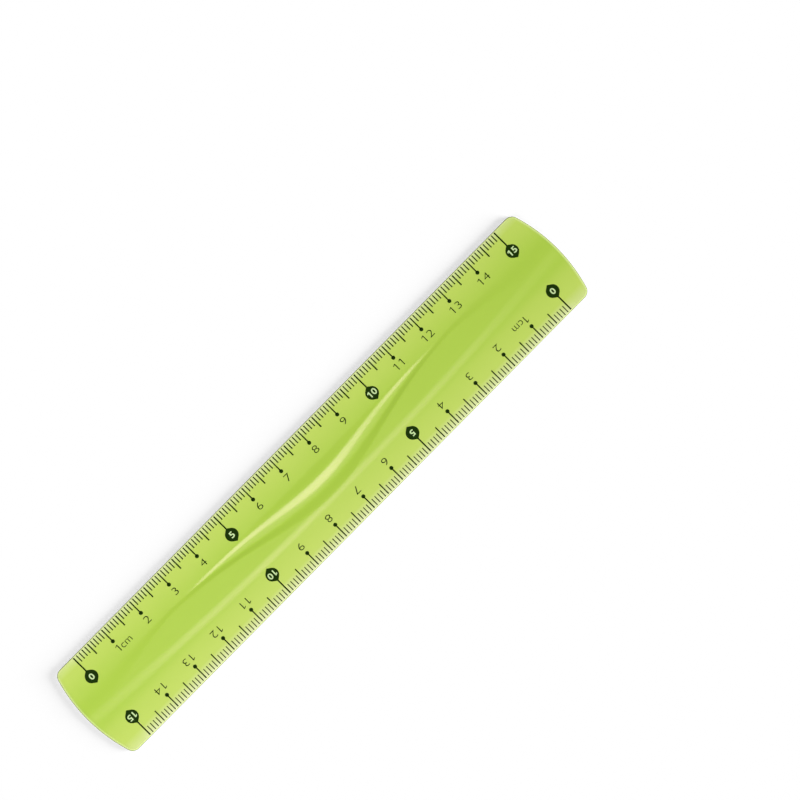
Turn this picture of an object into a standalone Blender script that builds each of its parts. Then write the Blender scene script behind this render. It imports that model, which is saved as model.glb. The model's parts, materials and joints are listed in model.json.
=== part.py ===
"""A flexible ruler: a thin, soft plastic blade with a 15 cm scale printed along each long edge.

The soft blade bends anywhere along its length. It is built as a row of short links, one under each half
centimetre mark, with a hinge on the neutral plane in the narrow gap between each two links, so that the row
takes every curve that the strip takes. The middle link carries the rest: a chain of hinges runs from it to
each end.

Metres, +Z up. X runs along the blade, the blade rests on Z = 0, and the origin is under its middle.
The near scale runs along the +Y edge, and the far scale along the -Y edge, turned half round.
"""

import math

import bmesh
import bpy
from mathutils import Matrix, Vector

# The scales
SCALE_LENGTH = 0.15  # from the 0 line to the last line
SCALE_STEP = 0.001  # one graduation
STEPS_PER_HALF = 5  # a longer line stands at each half centimetre
STEPS_PER_CM = 10  # a line with a dot stands at each centimetre
STEPS_PER_MARKER = 50  # a large marker stands at every fifth centimetre

# The blade
BLADE_WIDTH = 0.0278
END_MARGIN = 0.0084  # from the last line of a scale to the tip of the blade
FACE_HEIGHT = 0.0012  # from the underside to the printed face
EDGE_CHAMFER = 0.0002
END_BOW_RADIUS = 0.043  # the ends bulge in a shallow arc
CORNER_RADIUS = 0.0022

# The links
STEPS_PER_LINK = 5
LINK_GAP = 0.0003

# The relief pressed into the middle of the face, between the two printed bands
RIDGE_RISE = 0.0001  # a flat ridge that runs the whole length
LIP_RISE = 0.00016  # the near band climbs to this crest at mid length
LIP_SPREAD = 0.012  # how far along the blade that climb fades out
HOLLOW_DEPTH = 0.00016  # the crescent between the crest and the ridge is sunk below the near band
HOLLOW_START = 0.024  # it fades out between these two distances from mid length
HOLLOW_END = 0.05
CREST_SPREAD = 0.0143  # how far along the blade the crest bows inwards
CREST_OFFSET = 0.0008  # its bow lies this much towards the 15 end
FLANK_SPREAD = 0.021  # the same for the ridge's near flank, which bows further
FLANK_OFFSET = 0.0005
FADE_START = 0.046  # the flank broadens into a gentle slope between these two distances from mid length
FADE_END = 0.08
STEP_BOW_RADIUS = 0.965  # the ridge's far flank is one long shallow arc

# Places and widths across the relief, as shares of the band between the two printed bands, from its near side
CREST_START_SHARE = 0.01
CREST_BOW_SHARE = 0.265
FACE_START_SHARE = 0.09  # the steep face beyond the crest
FACE_BOW_SHARE = 0.155
FLANK_START_SHARE = 0.019
FLANK_BOW_SHARE = 0.7265
FLANK_HALF_SHARE = 0.06
FLANK_SOFT_SHARE = 0.05  # how much wider each half of the flank is at mid length
FADE_SHARE = 0.45
STEP_START_SHARE = 0.9216
STEP_HALF_SHARE = 0.078
LIP_ROWS = 2  # rows of the mesh between the printed band and the crest
RAMP_ROWS = 4  # rows down the crest's face, up the flank and down the step
ROW_GAP_SHARE = 0.004  # rows never lie nearer than this

# The print: black ink that stands a little proud of the face
PRINT_THICKNESS = 0.00005
PRINT_ROOT = 0.0002  # how deep a line fused to its link reaches into it
PRINT_INSET = 0.0003  # the lines stop this far from the edge
LINE_WIDTH = 0.00018
LINE_LENGTH = 0.0024  # the lengths are measured from the edge
HALF_LINE_WIDTH = 0.0002
HALF_LINE_LENGTH = 0.0037
CM_LINE_WIDTH = 0.00024
DOT_CENTRE = 0.00435
DOT_RADIUS = 0.00052
DOT_SIDES = 12
MARKER_LINE_WIDTH = 0.0003
MARKER_CENTRE = 0.0067
MARKER_RADIUS = 0.00165
MARKER_TIP = 0.00197  # from the marker's centre to its point, towards the edge
MARKER_HEEL = 0.00197  # from the marker's centre to its inner point
MARKER_SIDES = 24
MARKER_CLEARANCE = 0.00013  # from the marker to the relief

OVERRUN = 0.001  # how far a cutter passes what it cuts
CORNER_STEPS = 6
END_STEPS = 16
SHARP_ANGLE = math.radians(30)  # edges sharper than this aren't shaded smooth
AXIS_SIZE = 0.004

SCALE_STEPS = round(SCALE_LENGTH / SCALE_STEP)
BLADE_LENGTH = SCALE_LENGTH + 2 * END_MARGIN
LINK_LENGTH = SCALE_STEP * STEPS_PER_LINK
LINK_COUNT = SCALE_STEPS // STEPS_PER_LINK + 1
MIDDLE_LINK = LINK_COUNT // 2
HINGE_HEIGHT = FACE_HEIGHT / 2
PRINT_DEPTH = MARKER_CENTRE + MARKER_HEEL + MARKER_CLEARANCE
RELIEF_WIDTH = BLADE_WIDTH - 2 * PRINT_DEPTH


def clear_scene():
    for found in list(bpy.data.objects):
        bpy.data.objects.remove(found)


def make_material(name, colour, roughness):
    made = bpy.data.materials.new(name)
    made.use_nodes = True
    shader = made.node_tree.nodes["Principled BSDF"]
    shader.inputs["Base Color"].default_value = (*colour, 1)
    shader.inputs["Roughness"].default_value = roughness
    shader.inputs["Metallic"].default_value = 0
    made.diffuse_color = (*colour, 1)
    return made


def add_object(name, mesh, origin, parent):
    """An object at origin, in the world, whose mesh was made in world coordinates."""
    mesh.transform(Matrix.Translation(-origin))
    made = bpy.data.objects.new(name, mesh)
    bpy.context.scene.collection.objects.link(made)
    place(made, origin, parent)
    return made


def world_place(found):
    """Where an object's origin lies in the world: nothing here is turned or scaled."""
    here = Vector()
    while found:
        here += found.location
        found = found.parent
    return here


def place(made, origin, parent):
    made.parent = parent
    made.location = origin - world_place(parent)


def make_helper(made):
    made.hide_render = True
    made.display_type = "WIRE"


# Mesh building


def face_between(bm, first, second):
    """Joins two loops of the same number of vertices with a band of faces."""
    count = len(first)
    for i in range(count):
        j = (i + 1) % count
        bm.faces.new((first[i], first[j], second[j], second[i]))


def loft(bm, loops):
    """A closed solid through loops of points. The loops run anticlockwise, seen from the last one's side."""
    rings = [[bm.verts.new(point) for point in loop] for loop in loops]
    for first, second in zip(rings, rings[1:]):
        face_between(bm, first, second)
    bm.faces.new(reversed(rings[0]))
    bm.faces.new(rings[-1])


def finish_mesh(bm, name, material):
    bmesh.ops.recalc_face_normals(bm, faces=bm.faces)
    mesh = bpy.data.meshes.new(name)
    bm.to_mesh(mesh)
    bm.free()
    mesh.materials.append(material)
    mesh.shade_smooth()
    mesh.set_sharp_from_angle(angle=SHARP_ANGLE)
    return mesh


def prism(bm, outline, bottom, top):
    loft(bm, [[(x, y, z) for x, y in outline] for z in (bottom, top)])


# The blade


def station(step):
    """Where a graduation lies along X, counted from the near scale's 0."""
    return step * SCALE_STEP - SCALE_LENGTH / 2


def end_outline(inset):
    """The +X end, drawn in by inset, from the near side round to the far side."""
    bow = END_BOW_RADIUS - inset
    corner = CORNER_RADIUS - inset
    side = BLADE_WIDTH / 2 - CORNER_RADIUS
    bow_x = BLADE_LENGTH / 2 - END_BOW_RADIUS
    reach = math.sqrt((END_BOW_RADIUS - CORNER_RADIUS) ** 2 - side**2)
    turn = math.atan2(side, reach)
    points = []
    for i in range(CORNER_STEPS):
        angle = math.pi / 2 + (turn - math.pi / 2) * i / CORNER_STEPS
        points.append((bow_x + reach + corner * math.cos(angle), side + corner * math.sin(angle)))
    for i in range(END_STEPS + 1):
        angle = turn - 2 * turn * i / END_STEPS
        points.append((bow_x + bow * math.cos(angle), bow * math.sin(angle)))
    return points + [(x, -y) for x, y in reversed(points[:CORNER_STEPS])]


def make_outline(material):
    """The blade's plan with its chamfered rim, as a solid that trims every link."""
    rim = RIDGE_RISE + LIP_RISE
    levels = (
        (0, EDGE_CHAMFER),
        (EDGE_CHAMFER, 0),
        (FACE_HEIGHT - EDGE_CHAMFER, 0),
        (FACE_HEIGHT + rim, EDGE_CHAMFER + rim),
    )
    loops = []
    for height, inset in levels:
        end = end_outline(inset)
        whole = end + [(-x, -y) for x, y in end]
        loops.append([(x, y, height) for x, y in reversed(whole)])
    bm = bmesh.new()
    loft(bm, loops)
    made = add_object("blade_outline", finish_mesh(bm, "blade_outline", material), Vector(), None)
    make_helper(made)
    return made


def smooth(share):
    share = min(max(share, 0), 1)
    return share * share * (3 - 2 * share)


def bell(x, spread):
    return math.exp(-((x / spread) ** 2) / 2)


def crest_share(x):
    return CREST_START_SHARE + CREST_BOW_SHARE * bell(x - CREST_OFFSET, CREST_SPREAD)


def face_share(x):
    return FACE_START_SHARE + FACE_BOW_SHARE * bell(x - CREST_OFFSET, CREST_SPREAD)


def flank_shares(x):
    """Where the ridge's near flank starts and ends."""
    middle = FLANK_START_SHARE + FLANK_BOW_SHARE * bell(x - FLANK_OFFSET, FLANK_SPREAD)
    half = FLANK_HALF_SHARE + FLANK_SOFT_SHARE * bell(x - CREST_OFFSET, CREST_SPREAD)
    fading = smooth((abs(x) - FADE_START) / (FADE_END - FADE_START))
    return max(middle - half, 0), middle + half + FADE_SHARE * fading


def step_shares(x):
    """Where the ridge's far flank starts and ends."""
    middle = STEP_START_SHARE - x * x / (2 * STEP_BOW_RADIUS * RELIEF_WIDTH)
    return middle - STEP_HALF_SHARE, middle + STEP_HALF_SHARE


def relief(x, share):
    """How far the face stands above the printed bands, at a share of the band between them."""
    crest = crest_share(x)
    climbing = smooth(share / crest)
    sinking = smooth((share - crest) / face_share(x))
    low, high = flank_shares(x)
    rising = smooth((share - low) / (high - low))
    low, high = step_shares(x)
    falling = smooth((share - low) / (high - low))
    lip = LIP_RISE * bell(x - CREST_OFFSET, LIP_SPREAD)
    hollow = HOLLOW_DEPTH * (1 - smooth((abs(x) - HOLLOW_START) / (HOLLOW_END - HOLLOW_START)))
    return lip * (climbing - sinking) - hollow * max(sinking - rising, 0) + RIDGE_RISE * (rising - falling)


def relief_rows(x):
    """Where the mesh's rows lie across the relief: they follow the crest, the flank and the step."""
    crest = crest_share(x)
    rows = [crest * i / LIP_ROWS for i in range(LIP_ROWS)]
    for low, high in ((crest, crest + face_share(x)), flank_shares(x), step_shares(x)):
        for i in range(RAMP_ROWS + 1):
            rows.append(max(low + (high - low) * i / RAMP_ROWS, rows[-1] + ROW_GAP_SHARE))
    return rows


def section(x):
    """The blade's cross-section at x, from the underside's near corner round to the near side of the face."""
    near, far = BLADE_WIDTH / 2 + OVERRUN, -BLADE_WIDTH / 2 - OVERRUN
    points = [(x, near, -OVERRUN), (x, far, -OVERRUN), (x, far, FACE_HEIGHT)]
    for share in reversed(relief_rows(x)):
        across = BLADE_WIDTH / 2 - PRINT_DEPTH - share * RELIEF_WIDTH
        points.append((x, across, FACE_HEIGHT + relief(x, share)))
    return [*points, (x, near, FACE_HEIGHT)]


def link_at(step):
    """The number of the link that carries a graduation."""
    return min((step + STEPS_PER_LINK // 2) // STEPS_PER_LINK, LINK_COUNT - 1)


def link_span(number):
    """The two ends of a link along X. The end links run on past the tips, where the outline trims them."""
    low = station(number * STEPS_PER_LINK) - LINK_LENGTH / 2 + LINK_GAP / 2
    high = station(number * STEPS_PER_LINK) + LINK_LENGTH / 2 - LINK_GAP / 2
    if number == 0:
        low = -BLADE_LENGTH / 2 - OVERRUN
    if number == LINK_COUNT - 1:
        high = BLADE_LENGTH / 2 + OVERRUN
    return low, high


def link_name(number):
    return f"blade_link_{number * STEPS_PER_LINK:03d}mm"


def make_link(number, outline, soft, ink, origin, parent):
    low, high = link_span(number)
    cells = max(1, round((high - low) / LINK_LENGTH))
    bm = bmesh.new()
    loft(bm, [section(low + (high - low) * i / cells) for i in range(cells + 1)])
    link = add_object(link_name(number), finish_mesh(bm, link_name(number), soft), origin, parent)
    link.data.materials.append(ink)
    trim = link.modifiers.new("trim to the outline", "BOOLEAN")
    trim.operation = "INTERSECT"
    trim.object = outline
    fuse = link.modifiers.new("fuse the print", "BOOLEAN")
    fuse.operation = "UNION"
    fuse.object = make_print(number, ink, origin, parent)
    fuse.material_mode = "TRANSFER"
    return link


# The print


def line_outline(x, width, length):
    left, right = x - width / 2, x + width / 2
    inner, outer = BLADE_WIDTH / 2 - length, BLADE_WIDTH / 2 - PRINT_INSET
    return [(left, inner), (right, inner), (right, outer), (left, outer)]


def pin_outline(x, stem, centre, radius, sides, tip=None, heel=None):
    """A line from the edge that ends in a round head. A tip and a heel draw the head out to two points."""
    middle = BLADE_WIDTH / 2 - centre
    start = math.asin(stem / 2 / radius) if tip is None else math.acos(radius / tip)
    stop = math.pi if heel is None else math.pi - math.acos(radius / heel)
    side = []
    for i in range(sides // 2 + 1):
        angle = start + (stop - start) * i / (sides // 2)
        side.append((radius * math.sin(angle), radius * math.cos(angle)))
    if tip is not None:
        slope = (tip - side[0][1]) / side[0][0]
        side.insert(0, (stem / 2, tip - slope * stem / 2))
    if heel is not None:
        side.append((0, -heel))
    left = [(x - a, middle + b) for a, b in side]
    right = [(x + a, middle + b) for a, b in side[:-1]]
    edge = BLADE_WIDTH / 2 - PRINT_INSET
    return [(x - stem / 2, edge), *left, *reversed(right), (x + stem / 2, edge)]


def graduation(step, x):
    """The outline at x of a scale's line, on the near side."""
    if step % STEPS_PER_CM == 0:
        return pin_outline(x, CM_LINE_WIDTH, DOT_CENTRE, DOT_RADIUS, DOT_SIDES)
    if step % STEPS_PER_HALF == 0:
        return line_outline(x, HALF_LINE_WIDTH, HALF_LINE_LENGTH)
    return line_outline(x, LINE_WIDTH, LINE_LENGTH)


def mirrored(outline):
    """The same outline on the far side."""
    return [(x, -y) for x, y in reversed(outline)]


def make_print(number, ink, origin, parent):
    """Every line of one link, of both scales, apart from the large markers."""
    bm = bmesh.new()
    bottom, top = FACE_HEIGHT - PRINT_ROOT, FACE_HEIGHT + PRINT_THICKNESS
    for step in range(SCALE_STEPS + 1):
        if link_at(step) != number:
            continue
        if step % STEPS_PER_MARKER:
            prism(bm, graduation(step, station(step)), bottom, top)
        if (SCALE_STEPS - step) % STEPS_PER_MARKER:
            prism(bm, mirrored(graduation(SCALE_STEPS - step, station(step))), bottom, top)
    name = f"print_{number * STEPS_PER_LINK:03d}mm"
    made = add_object(name, finish_mesh(bm, name, ink), origin, parent)
    make_helper(made)
    return made


def make_marker(name, step, far, ink, links):
    """A large marker with its line, which lies on the printed face of its link."""
    x = station(step)
    outline = pin_outline(
        x, MARKER_LINE_WIDTH, MARKER_CENTRE, MARKER_RADIUS, MARKER_SIDES, MARKER_TIP, MARKER_HEEL
    )
    middle = BLADE_WIDTH / 2 - MARKER_CENTRE
    if far:
        outline = mirrored(outline)
        middle = -middle
    bm = bmesh.new()
    prism(bm, outline, FACE_HEIGHT, FACE_HEIGHT + PRINT_THICKNESS)
    add_object(name, finish_mesh(bm, name, ink), Vector((x, middle, FACE_HEIGHT)), links[link_at(step)])


# The chain


def make_axis(name, x, parent):
    """An empty on the hinge line between two links."""
    made = bpy.data.objects.new(name, None)
    made.empty_display_size = AXIS_SIZE
    bpy.context.scene.collection.objects.link(made)
    place(made, Vector((x, 0, HINGE_HEIGHT)), parent)
    return made


def main():
    clear_scene()
    soft = make_material("lime_soft_plastic", (0.45, 0.68, 0.09), 0.35)
    ink = make_material("black_screen_ink", (0.012, 0.014, 0.009), 0.5)
    outline = make_outline(soft)
    links = {MIDDLE_LINK: make_link(MIDDLE_LINK, outline, soft, ink, Vector(), None)}
    for side, name, hinges in ((1, "right", LINK_COUNT - 1 - MIDDLE_LINK), (-1, "left", MIDDLE_LINK)):
        parent = None
        for hinge in range(1, hinges + 1):
            number = MIDDLE_LINK + side * hinge
            cut = station(number * STEPS_PER_LINK) - side * LINK_LENGTH / 2
            parent = make_axis(f"bend_{name}_{hinge:02d}", cut, parent)
            links[number] = make_link(number, outline, soft, ink, world_place(parent), parent)
    for step in range(0, SCALE_STEPS + 1, STEPS_PER_MARKER):
        reading = step // STEPS_PER_CM
        make_marker(f"marker_near_{reading:02d}cm", step, False, ink, links)
        make_marker(f"marker_far_{reading:02d}cm", SCALE_STEPS - step, True, ink, links)


main()
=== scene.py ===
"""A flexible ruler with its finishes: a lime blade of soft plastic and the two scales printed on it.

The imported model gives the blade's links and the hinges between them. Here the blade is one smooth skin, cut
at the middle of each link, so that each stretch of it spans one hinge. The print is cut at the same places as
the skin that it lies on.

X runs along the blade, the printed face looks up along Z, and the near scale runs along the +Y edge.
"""

import json
import math
from collections import namedtuple

import bmesh
import bpy
import numpy as np
from bpy.props import FloatProperty, FloatVectorProperty, PointerProperty
from mathutils import Euler, Matrix, Vector

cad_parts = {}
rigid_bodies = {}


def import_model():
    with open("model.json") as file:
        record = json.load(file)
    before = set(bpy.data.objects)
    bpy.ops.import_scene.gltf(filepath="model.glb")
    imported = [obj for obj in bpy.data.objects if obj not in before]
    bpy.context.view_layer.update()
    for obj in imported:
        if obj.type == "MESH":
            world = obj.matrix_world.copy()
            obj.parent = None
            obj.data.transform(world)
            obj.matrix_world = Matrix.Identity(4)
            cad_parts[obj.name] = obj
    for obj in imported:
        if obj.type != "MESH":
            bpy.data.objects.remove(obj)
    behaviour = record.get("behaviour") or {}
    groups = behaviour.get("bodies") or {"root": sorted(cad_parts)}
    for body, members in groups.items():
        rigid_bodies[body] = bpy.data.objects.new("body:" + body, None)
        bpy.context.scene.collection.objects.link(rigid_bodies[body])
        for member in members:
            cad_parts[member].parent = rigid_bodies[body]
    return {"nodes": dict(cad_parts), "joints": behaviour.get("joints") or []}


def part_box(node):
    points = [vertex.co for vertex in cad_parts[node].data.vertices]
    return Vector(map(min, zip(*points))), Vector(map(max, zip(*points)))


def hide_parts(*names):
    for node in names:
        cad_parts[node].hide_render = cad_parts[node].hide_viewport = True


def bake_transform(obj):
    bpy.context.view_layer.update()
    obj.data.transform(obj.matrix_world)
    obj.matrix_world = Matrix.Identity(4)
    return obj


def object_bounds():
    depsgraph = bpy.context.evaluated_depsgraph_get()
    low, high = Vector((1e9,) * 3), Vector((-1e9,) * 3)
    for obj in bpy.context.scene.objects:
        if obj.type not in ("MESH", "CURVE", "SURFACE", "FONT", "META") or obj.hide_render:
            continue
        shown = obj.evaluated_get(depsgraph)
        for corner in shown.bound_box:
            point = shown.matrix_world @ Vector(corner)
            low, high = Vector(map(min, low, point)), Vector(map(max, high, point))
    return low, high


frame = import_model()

bl_info = {
    "name": "Flexible ruler",
    "version": (1, 0, 0),
    "blender": (4, 5, 0),
    "location": "3D View > Sidebar > Ruler",
    "description": "Builds a flexible ruler's soft blade, its printed scales and its stage",
    "category": "Object",
}

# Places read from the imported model
CAD_LOW, CAD_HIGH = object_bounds()
HALF_LENGTH = (CAD_HIGH.x - CAD_LOW.x) / 2
HALF_WIDTH = (CAD_HIGH.y - CAD_LOW.y) / 2
FACE_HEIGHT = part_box("marker_near_00cm")[0].z
HINGES = sorted(frame["joints"], key=lambda joint: joint["pos_m"][0])
LINK_LENGTH = HINGES[1]["pos_m"][0] - HINGES[0]["pos_m"][0]
SCALE_START = HINGES[0]["pos_m"][0] - LINK_LENGTH / 2

# The scales
MILLIMETRE = 0.001
MILLIMETRES = round(-2 * SCALE_START / MILLIMETRE)
LINES_PER_HALF = 5
LINES_PER_CM = 10
LINES_PER_MARKER = 50
CM_PER_MARKER = LINES_PER_MARKER // LINES_PER_CM

# How finely the blade's skin is divided
COLUMNS_PER_LINK = 10
END_COLUMNS = 16
CORNER_ROWS = 8
BAND_ROWS = 9
RELIEF_ROWS = 83
RIM_STEPS = 4
MARKER_SIDES = 48
DOT_SIDES = 24
COLUMN = LINK_LENGTH / COLUMNS_PER_LINK

# Figures of Blender's own font, at size 1
FONT_HEIGHT = 0.69
FONT_ADVANCE = 0.5
FONT_MERGE = 1e-5
FONT_STEPS = 4
ONE = ((0.2, 0), (0.29, 0), (0.29, 0.69), (0.21, 0.69), (0.06, 0.59), (0.06, 0.5), (0.2, 0.58))

# Finishes
PVC_IOR = 1.53
CLOUD_DETAIL = 2
RIPPLE_DETAIL = 3
GRAIN_DETAIL = 2
BLACK_INK = "black_screen_ink"

SNAP = 1e-7  # points this near to a cut lie on it, and faces this thin are dissolved

# A stretch of the blade across one hinge, with the hinge's parent body at start and its child at end.
Stretch = namedtuple("Stretch", "name low high parent child start end")


def find_stretches():
    found = []
    for number, hinge in enumerate(HINGES):
        x = hinge["pos_m"][0]
        low, high = x - LINK_LENGTH / 2, x + LINK_LENGTH / 2
        start, end = (low, high) if x > 0 else (high, low)
        reading = number * round(LINK_LENGTH / MILLIMETRE)
        bodies = hinge["parent"], hinge["child"]
        found.append(Stretch(f"{reading:03d}mm", low, high, *bodies, (start, 0, 0), (end, 0, 0)))
    return found


STRETCHES = find_stretches()


def linear(colour):
    """A hex sRGB colour as the linear values that shaders take."""
    channels = [int(colour[i : i + 2], 16) / 255 for i in (0, 2, 4)]
    return [c / 12.92 if c <= 0.04045 else ((c + 0.055) / 1.055) ** 2.4 for c in channels]


def length(name, description, default):
    return FloatProperty(
        name=name, description=description, default=default, min=0, precision=6, unit="LENGTH"
    )


def share(name, description, default):
    return FloatProperty(name=name, description=description, default=default, min=0, max=1, subtype="FACTOR")


def factor(name, description, default):
    return FloatProperty(name=name, description=description, default=default, precision=3)


def angle(name, description, degrees):
    return FloatProperty(name=name, description=description, default=math.radians(degrees), subtype="ANGLE")


def power(name, description, default):
    return FloatProperty(name=name, description=description, default=default, min=0, unit="POWER")


def position(name, description, default):
    return FloatVectorProperty(name=name, description=description, default=default, subtype="TRANSLATION")


def colour(name, description, default):
    return FloatVectorProperty(name=name, description=description, default=linear(default), subtype="COLOR")


class BladeSettings(bpy.types.PropertyGroup):
    end_bow_radius: length("End bow radius", "Radius of the shallow arc at each end", 0.043)
    corner_radius: length("Corner radius", "Radius of the four corners, seen from above", 0.0022)
    edge_radius: length("Edge radius", "Radius of the rounded rim", 0.0002)
    print_depth: length("Print depth", "Width of the flat band that carries each scale", 0.0088)


class ReliefSettings(bpy.types.PropertyGroup):
    ridge_rise: length("Ridge rise", "Height of the flat ridge along the middle", 0.000085)
    lip_rise: length("Lip rise", "How far the crescent's crest stands above the band", 0.00015)
    lip_spread: length("Lip spread", "How far along the blade the lip fades out", 0.012)
    hollow_depth: length("Hollow depth", "How far the crescent is sunk below the band", 0.000125)
    hollow_start: length("Hollow start", "Where it starts to fade out, from the middle", 0.024)
    hollow_end: length("Hollow end", "Where it has faded out, from the middle", 0.05)
    crest_spread: length("Crest spread", "How far along the blade the crest bows inwards", 0.0143)
    crest_offset: length("Crest offset", "How far its bow is moved towards 15", 0.0008)
    flank_spread: length("Flank spread", "How far along the blade the ridge's near flank bows inwards", 0.021)
    flank_offset: length("Flank offset", "How far its bow is moved towards 15", 0.0005)
    fade_start: length("Fade start", "Where the flank starts to broaden, from the middle", 0.046)
    fade_end: length("Fade end", "Where it is broadest, from the middle", 0.08)
    step_bow_radius: length("Step bow radius", "Radius of the ridge's far edge, a long arc", 0.965)
    crest_start: share("Crest start", "Where the crest lies at its ends, across the relief", 0.01)
    crest_bow: share("Crest bow", "How far it bows inwards", 0.265)
    face_start: share("Face start", "Width of the steep face beyond the crest, at its ends", 0.09)
    face_bow: share("Face bow", "How much wider that face is at mid length", 0.155)
    face_easing: share("Face easing", "How much of its drop runs on gently across the crescent", 0.42)
    flank_start: share("Flank start", "Where the near flank lies at its ends", 0.019)
    flank_bow: share("Flank bow", "How far it bows inwards", 0.7265)
    flank_half: share("Flank half width", "Half the width of the near flank", 0.06)
    flank_soft: share("Flank softening", "How much wider each half of it is at mid length", 0.09)
    fade_width: share("Fade width", "How much broader the flank is at the blade's ends", 0.45)
    step_start: share("Step start", "Where the far edge lies at mid length", 0.9216)
    step_half: share("Step half width", "Half the width of the far edge", 0.12)
    step_fade: share("Step fade width", "How much wider each half of it is at the blade's ends", 0.06)


class PlasticSettings(bpy.types.PropertyGroup):
    # Painted light: the lighter, yellower edge lime stands for light through the plastic near the long edges
    edge_colour: colour("Edge", "The yellow lime near the edges", "B7D154")
    deep_colour: colour("Deep", "The fuller lime in the middle", "A4C739")
    # Painted light: the pale rim lime stands for light caught in the rounded rim
    rim_colour: colour("Rim", "The pale lime that gathers at the rim", "D8E2A8")
    gloss_tint: colour("Gloss tint", "Keeps the highlight on the crest a warm pale lime", "FFCEE1")
    deep_start: length("Deep start", "Where the fuller lime starts, from a long edge", 0.001)
    deep_end: length("Deep end", "Where it is fullest, from a long edge", 0.0115)
    # Painted light: the far band is painted lighter, as the side that the light falls on
    thin_start: length("Thin start", "Where the far side starts to be painted lighter, from mid width", 0.003)
    thin_end: length("Thin end", "Where the far band is painted fully lighter, from mid width", 0.0065)
    thin_loss: share("Thin loss", "How much less of the fuller lime the far band shows", 0.4)
    cloud_size: length("Cloud size", "Size of the cloudy patches", 0.014)
    cloud_strength: share("Cloud strength", "How far they change the lime", 0.4)
    cloud_roughness: share("Cloud roughness", "How far they change the gloss", 0.08)
    roughness: share("Roughness", "Roughness of the clearest patches", 0.2)
    ripple_size: length("Ripple size", "Size of the waves that the moulding tool leaves", 0.0006)
    ripple_height: length("Ripple height", "Height of those waves", 0.00002)
    ripple_strength: share("Ripple strength", "How much of them shows", 0.12)
    # Painted light: width, paleness and fade of the painted rim light
    rim_width: length("Rim width", "Width of the pale rim all round", 0.0007)
    rim_strength: share("Rim strength", "How pale that rim is", 0.7)
    # Painted light: an emission at the rim and the walls, a painted glow
    rim_glow: share("Rim glow", "How much it glows", 0.06)
    wall_glow: share("Wall glow", "How much more the edge walls glow", 0.12)
    near_rim_start: length("Near rim start", "Where the near edge starts to pale, from mid width", 0.0115)
    near_rim_end: length("Near rim end", "Where it would be palest, from mid width", 0.0145)
    far_rim_start: length("Far rim start", "Where the far edge starts to pale, from mid width", 0.0106)
    rim_fade_start: length("Rim fade start", "Where the long rims start to fade, from mid length", 0.074)
    rim_fade_end: length("Rim fade end", "Where they have faded, from mid length", 0.077)
    rim_fade: share("Rim fade", "How much of the long rims is lost beyond the scales", 0.5)


class InkSettings(bpy.types.PropertyGroup):
    ink_colour: colour("Ink", "The dark ink of lines, figures and markers", "172E02")
    pale_colour: colour("Pale ink", "The pale figures on the markers", "C2DC9E")
    thickness: length("Ink thickness", "How far the ink stands proud of the face", 0.00003)
    root: length("Ink root", "How far the ink reaches into the face", 0.00003)
    roughness: share("Ink roughness", "Roughness of the dark ink", 0.4)
    pale_roughness: share("Pale ink roughness", "Roughness of the pale ink", 0.45)
    specular: share("Ink specular", "How strongly the film mirrors", 0.03)
    grain_size: length("Grain size", "Size of the printing mesh's grain", 0.0002)
    grain_height: length("Grain height", "Height of that grain", 0.00001)
    grain_strength: share("Grain strength", "How much of it shows", 0.15)
    grain_contrast: share("Grain contrast", "How far it changes the ink's brightness", 0.3)
    grain_darkest: share("Darkest grain", "The ink's brightness where it is darkest", 0.85)
    grain_roughness: share("Grain roughness", "How far it changes the gloss", 0.15)


class ScaleSettings(bpy.types.PropertyGroup):
    inset: length("Inset", "How far from the edge the lines start", 0.0003)
    line_length: length("Line length", "Millimetre lines, measured from the edge", 0.0024)
    near_width: length("Near line width", "Millimetre lines of the near scale", 0.00029)
    far_width: length("Far line width", "Millimetre lines of the far scale", 0.000245)
    half_length: length("Half line length", "Half centimetre lines, measured from the edge", 0.0037)
    near_half_width: length("Near half line width", "Half centimetre lines of the near scale", 0.00035)
    far_half_width: length("Far half line width", "Half centimetre lines of the far scale", 0.00031)
    cm_length: length("Centimetre line length", "From the edge to the dot's centre", 0.00435)
    cm_width: length("Centimetre line width", "Centimetre lines", 0.00033)
    dot_radius: length("Dot radius", "The dot at the end of a centimetre line", 0.00052)


class FigureSettings(bpy.types.PropertyGroup):
    marker_line_width: length("Marker line width", "Lines that lead to a large marker", 0.00038)
    marker_centre: length("Marker centre", "From the edge to a large marker's centre", 0.00677)
    marker_radius: length("Marker radius", "The round part of a large marker", 0.00173)
    marker_tip: length("Marker tip", "From its centre to each of its points", 0.00212)
    figure_centre: length("Figure centre", "From the edge to the middle of a figure", 0.0066)
    figure_height: length("Figure height", "Plain figures, beside a dot", 0.0019)
    figure_stretch: factor("Figure stretch", "Their width, against the font's own", 1.3)
    figure_weight: factor("Figure weight", "How much thicker their strokes are, at size 1", -0.012)
    marker_figure_height: length("Marker figure height", "Bold figures, on a large marker", 0.00165)
    marker_figure_stretch: factor("Marker figure stretch", "Their width, against the font's own", 1.15)
    marker_figure_weight: factor("Marker figure weight", "How much thicker their strokes are", 0.022)
    unit_offset: length("Unit offset", "How far the letters cm stand beyond the 1 cm line", 0.0013)
    unit_stretch: factor("Unit stretch", "The letters' width, against the font's own", 1.05)


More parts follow.
